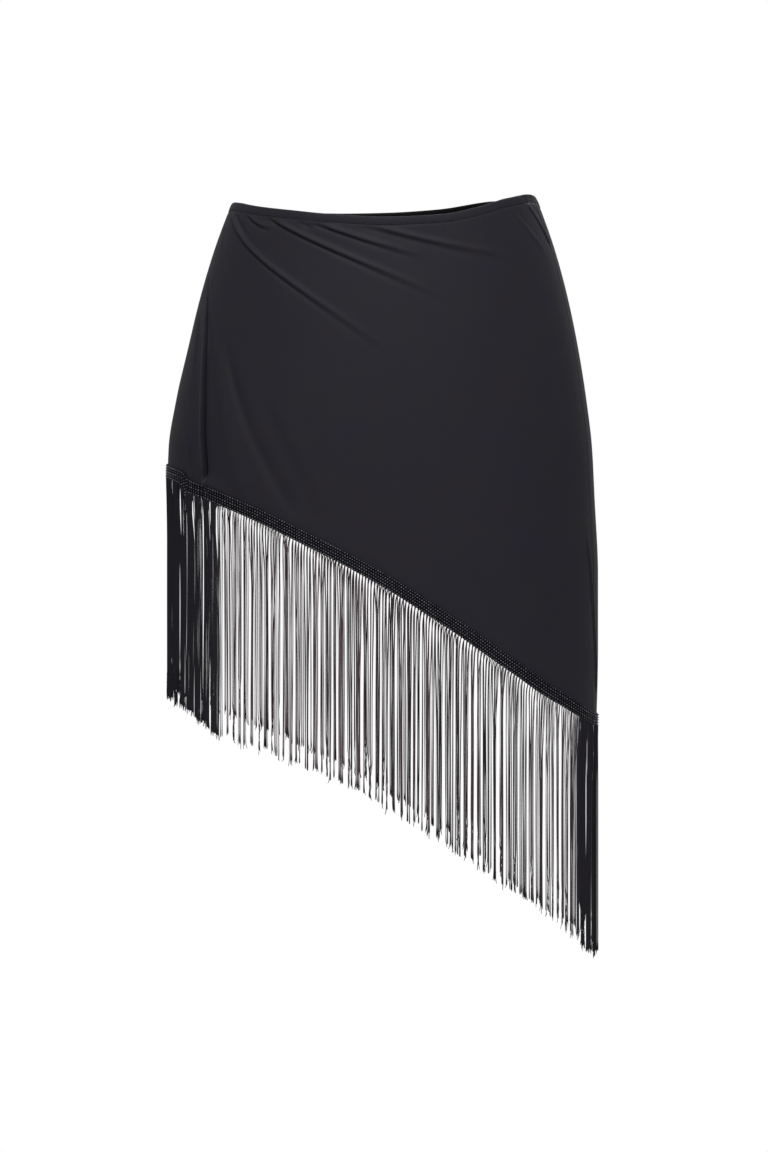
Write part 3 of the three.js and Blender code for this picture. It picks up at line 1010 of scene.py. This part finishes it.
# Bundles that strands gather into: their width along the hem, and the share of them that have it.
BUNDLES = table("width share", [
    (2.6, 0.3),
    (5.0, 0.45),
    (7.4, 0.25),
])
DENSE_PITCH = 1.1  # strands are dense where they are closer together than this,
LOOSE_PITCH = 2.2  # and loose where they are farther apart than this
DENSE_SHRINKS = 0.45  # share of the hem that isn't counted where strands are dense, so bundles are wider
ROOT_HEIGHT = 0.6  # of a strand's middle over the tape's underside, where it leaves the heading
ROOT_HIDDEN = 1.5  # how far above the heading's lower edge a strand starts
THREAD_SPACING = 0.31  # between two threads of a strand
TURN_DOWN = 3.4  # drop in which a strand turns down from its start square to the heading's run
CORD_LAY = 4  # length of a cord to a radian of its winding

# Stretches of a strand: from and to a distance below the heading,
OPENING = (6, 50)  # where dense bundles open again
PARTING = (3, 60)  # where the threads of a strand part
SWAYING = (0, 30)  # where they begin to sway
# and from and to a distance above the tip
CLOSING = (36, 14)  # where a corded bundle closes up
ENDING = (9, 2)  # where a thread gets thicker and darker


def strands_in_bundles(half, fringe, rng):
    """Where the strands of one half start, and what those of a bundle have in common. A bundle takes
    the strands that fall into its width, out of a row of widths drawn along the hem. Every array has
    a row for each thread of each strand."""
    angle = spaced_angles(half, heading_bottom, lambda a: follow(STRANDS, "angle", "pitch", a), level=True)
    pitch, longer, close, pale = (
        follow(STRANDS, "angle", column, angle) for column in ("pitch", "longer", "close", "pale")
    )
    dense = 1 - smooth(pitch, DENSE_PITCH, LOOSE_PITCH)
    root = cloth_point(angle, heading_bottom(angle), SEAM_GAP + ROOT_HEIGHT)
    away = outward(angle, heading_bottom(angle))
    away[:, 2] = 0
    away = unit(away)
    along = np.stack([-away[:, 1], away[:, 0], 0 * angle], -1)
    place = np.concatenate([[0], np.cumsum(np.linalg.norm(np.diff(root[:, :2], axis=0), axis=1))])

    most = 400  # more bundles than one half has
    widths = rng.choice(BUNDLES["width"], most, p=BUNDLES["share"])
    packed = np.concatenate([[0], np.cumsum(np.diff(place) * (1 - DENSE_SHRINKS * dense[1:]))])
    bundle = np.unique(np.searchsorted(np.cumsum(widths), packed), return_inverse=True)[1]
    members = np.bincount(bundle)
    middle = (np.bincount(bundle, place) / members)[bundle]

    def draw(low, high):
        """One random number for each bundle, given to all its strands."""
        return rng.uniform(low, high, len(members))[bundle]

    hold = np.minimum(draw(0.3, 1) * close, 0.92)  # how far it closes up
    settled = draw(0.1, 0.6) * (1 - 0.85 * dense)  # share of the length over which it does
    drift = draw(-1, 1) * (1 - dense)  # how far it leans to a side
    wave = draw(0.3, 1.1) * dense  # how far it sways from side to side
    turns = draw(0.5, 1.4)  # how often
    depth = draw(-1.4, 1.4) * (1 - 0.8 * dense) - 1.2  # how far it swings out
    corded = draw(0, 1) < 0.25
    drop = fringe.length / MM + longer + draw(-2.4, 2.4)
    shade = draw(0, 1)
    apart = rng.uniform(-0.04, 0.22, len(angle)) * (1 - dense) * pale  # how far a strand's threads part

    numbers = {
        "slope": np.gradient(root[:, 2], place), "pull": middle - place, "dense": dense, "pale": pale,
        "hold": hold, "settled": settled, "drift": drift, "wave": wave, "turns": turns, "depth": depth,
        "corded": corded, "drop": drop, "shade": shade, "apart": apart,
        "thickness": np.sqrt(fringe.plies * members[bundle]),
    }
    arrays = {"root": root, "away": away, "along": along}
    arrays.update((name, values[:, None]) for name, values in numbers.items())
    return SimpleNamespace(**{name: np.repeat(rows, fringe.plies, axis=0) for name, rows in arrays.items()})


def add_strands(half, fringe):
    """Strands that hang from the heading's lower edge, each of a few threads side by side. A strand
    leaves square to the heading's run and turns down within a few millimetres. Below, its threads
    hang nearly straight. Its place along the hem goes towards the middle of its bundle, by a share
    that rises over a stretch of its length and falls again where the strands are close together.
    Near the end some bundles close up and wind into a cord."""
    rng = np.random.default_rng(half.seed)
    strand = strands_in_bundles(half, fringe, rng)
    plies, number = fringe.plies, len(strand.root)
    loose = 1 - strand.dense

    def own(low, high):
        """One random number for each thread."""
        return rng.uniform(low, high, (number, 1))

    ply = np.tile(np.arange(plies) - (plies - 1) / 2, number // plies)[:, None]
    at_root = ply * THREAD_SPACING
    at_tip = ply * (THREAD_SPACING + strand.apart) + own(-0.25, 0.25) * loose * strand.pale
    layer, phase = own(-0.5, 0.5) * (1 - 0.85 * strand.dense), own(0, 7)
    stray = own(0, 1) < 0.3
    drop = strand.drop + own(-0.6, 0.6) + stray * own(1, 4.5)

    # Stations along a thread, closer together at both ends
    even = np.linspace(0, 1, 28)[None, :]
    t = even - 0.1 * np.sin(2 * np.pi * even)
    below = drop * t
    to_tip = drop - below

    # Moves along the hem
    leave = strand.slope * TURN_DOWN * (1 - np.exp(-below / TURN_DOWN))
    tie = 0.9 * strand.corded * smooth(to_tip, *CLOSING)
    opened = 1 - 0.9 * strand.dense * smooth(below, *OPENING)
    gather = np.maximum(strand.hold * smooth(t, 0, strand.settled) * opened, tie)
    beside = at_root + (at_tip - at_root) * smooth(below, *PARTING)
    sway = 0.12 * np.sin(2.2 * np.pi * t + phase)
    sway = sway + strand.wave * np.sin(2 * np.pi * strand.turns * t + 9 * strand.shade)
    cord = 0.2 * strand.thickness * tie
    wind = to_tip / CORD_LAY + phase
    flick = np.exp(-to_tip / 2.5) * own(-1.4, 1.4) * stray
    shift = leave + strand.pull * gather + strand.drift * t + cord * np.cos(wind)
    shift = shift + (beside + sway * smooth(below, *SWAYING)) * (1 - tie) + flick

    # Moves out of the hem
    swing = strand.depth * smooth(t, 0, 0.3) + layer * (1 - tie) + cord * np.sin(wind)

    root, along, away = strand.root[:, None], strand.along[:, None], strand.away[:, None]
    centres = root + along * shift[..., None] + away * swing[..., None]
    centres[..., 2] = root[..., 2] + ROOT_HIDDEN * (1 - t) - below
    tip = smooth(to_tip, *ENDING)
    thick = (1 + 0.2 * (1 - strand.pale)) * (1 + 0.5 * tip)
    radii = fringe.thread / MM / 2 * thick * (0.5 + 0.5 * smooth(to_tip, -0.3, 0.5))
    # The tone runs towards the light yarn, which is partly painted sheen, and falls near the tip.
    tone = (own(0, 0.45) + 0.55 * strand.shade) ** 1.7 * strand.pale * (1 - 0.85 * tip)
    return tube_mesh(f"fringe_threads_{half.name}", centres, radii, strand.away, 4, tone=tone)


class SKIRT_OT_cloth(bpy.types.Operator):
    bl_idname = "skirt.cloth"
    bl_label = "Front and back"

    def execute(self, context):
        cloth = context.scene.skirt_cloth
        jersey = jersey_material("viscose_jersey", tuple(cloth.colour), wale=1.0)
        # Painted shade: the inside of the cloth gets a near-black colour that stands in for the shade inside
        # the skirt.
        inside = jersey_material("inside_of_jersey", linear("0e0d10"), wale=1.0)
        for half, flat, area in ((FRONT, FRONT_CUT, FRONT_AREA), (BACK, BACK_CUT, BACK_AREA)):
            piece = add_cloth(half, cloth)
            dress(piece, (jersey, inside), "jersey", f"{half.name}_panel")
            trims = [bpy.data.objects[f"fringe_{trim}_{half.name}"] for trim in ("tape", "chain", "threads")]
            if half is FRONT:
                trims += [bpy.data.objects[name] for name in ("waist_casing_cloth", "waist_topstitches")]
        return {"FINISHED"}


# Columns of cloth beside a seam, in degrees from it, for its groove and for the back's edge, which
# goes on under the front's.
SEAM_COLUMNS = (0.02, 0.12, 0.3, 0.45, 0.6, 0.8, 1.0, 1.3, 1.6, 2.0)
UNDER_COLUMNS = (-0.2, -0.08)
UNDER_FRONT = 0.48  # degrees from a seam to the back's edge under the front
UNDER_DEPTH = 0.15  # how much farther in than the cloth's thickness it lies there
UNDER_CASING = 0.3  # the cloth starts this far above the casing's lower edge
WALL_SHARE = 0.9  # of the cloth's thickness, so that its inside stays within the solid's wall


def add_cloth(half, cloth):
    """Grid over one half, from under the casing to behind the heading, with more columns at the seams.
    The outside lies on the folded form, and Solidify gives it its wall. The back's edges go on for
    about a millimetre under the front's, as a seam's allowance does."""
    close = np.array(UNDER_COLUMNS + SEAM_COLUMNS if half is BACK else SEAM_COLUMNS)
    inner = -UNDER_FRONT if half is BACK else SEAM_COLUMNS[0]
    fine = np.linspace(half.start + inner, half.end - inner, 2001)
    count = np.cumsum(cloth.fineness / follow(COLUMNS, "angle", "step", fine))
    even = np.interp(np.linspace(count[0], count[-1], round(count[-1] * (fine[1] - fine[0]))), count, fine)
    angle = np.unique(np.concatenate([even, half.start + close, half.end - close]))[:, None]
    even = np.linspace(0, 1, cloth.rows)
    closer = 0.45  # how much closer together rows are near the waist
    share = (even + closer * even * (even - 1))[None, :]
    top = waist_drop(angle) + CASING_HEIGHT - UNDER_CASING
    drop = top + share * (heading_bottom(angle) - HEM_SHORT_OF_HEADING - top)
    below = drop - top
    from_seam = np.minimum(angle - half.start, half.end - angle)
    gathered, dip, dip_reach = 4, 0.4, 0.9  # drop in which gathers set in, and a dip under the casing
    out = pucker(angle, below) * smooth(below, 0, gathered) - dip * bell(below, dip_reach)
    out = out - (CLOTH + UNDER_DEPTH) * smooth(from_seam, 0.03, -0.08)
    points = cloth_point(angle, drop, out, seams=True)
    uv = np.stack(np.broadcast_arrays(angle * CLOTH_SCALE, drop), -1)
    piece = add_mesh(f"{half.name}_cloth", points, grid_faces(len(angle), cloth.rows), uv)
    wall = piece.modifiers.new("wall", "SOLIDIFY")
    wall.thickness = WALL_SHARE * CLOTH * MM
    wall.offset = -1
    # The inner wall takes the second material, the painted shade of the inside.
    wall.material_offset = 1
    return piece


class SKIRT_PT_pieces(bpy.types.Panel):
    """Buttons for each group of pieces, with its settings"""

    bl_label = "Fringe skirt"
    bl_idname = "SKIRT_PT_pieces"
    bl_space_type = "VIEW_3D"
    bl_region_type = "UI"
    bl_category = "Skirt"

    def draw(self, context):
        scene = context.scene
        for operator, group in PANEL_ROWS:
            box = self.layout.box()
            box.operator(operator)
            settings = getattr(scene, group)
            for name in settings.__annotations__:
                box.prop(settings, name)


PANEL_ROWS = (
    ("skirt.stage", "skirt_stage"),
    ("skirt.waist", "skirt_waist"),
    ("skirt.heading", "skirt_fringe"),
    ("skirt.fringe", "skirt_fringe"),
    ("skirt.cloth", "skirt_cloth"),
)
SETTINGS = {
    "skirt_cloth": ClothSettings,
    "skirt_waist": WaistSettings,
    "skirt_fringe": FringeSettings,
    "skirt_stage": StageSettings,
}
OPERATORS = (SKIRT_OT_stage, SKIRT_OT_waist, SKIRT_OT_heading, SKIRT_OT_fringe, SKIRT_OT_cloth)


def register():
    """Registers the classes, and gives a scene its settings."""
    for group in (*SETTINGS.values(), *OPERATORS, SKIRT_PT_pieces):
        bpy.utils.register_class(group)
    for name, group in SETTINGS.items():
        setattr(bpy.types.Scene, name, bpy.props.PointerProperty(type=group))


def unregister():
    """Takes the settings and the classes away again."""
    for name in SETTINGS:
        delattr(bpy.types.Scene, name)
    for group in (SKIRT_PT_pieces, *OPERATORS, *SETTINGS.values()):
        bpy.utils.unregister_class(group)


def main():
    """Builds everything."""
    register()
    bpy.ops.skirt.stage()
    bpy.ops.skirt.waist()
    bpy.ops.skirt.heading()
    bpy.ops.skirt.fringe()
    bpy.ops.skirt.cloth()


if __name__ == "__main__":
    main()
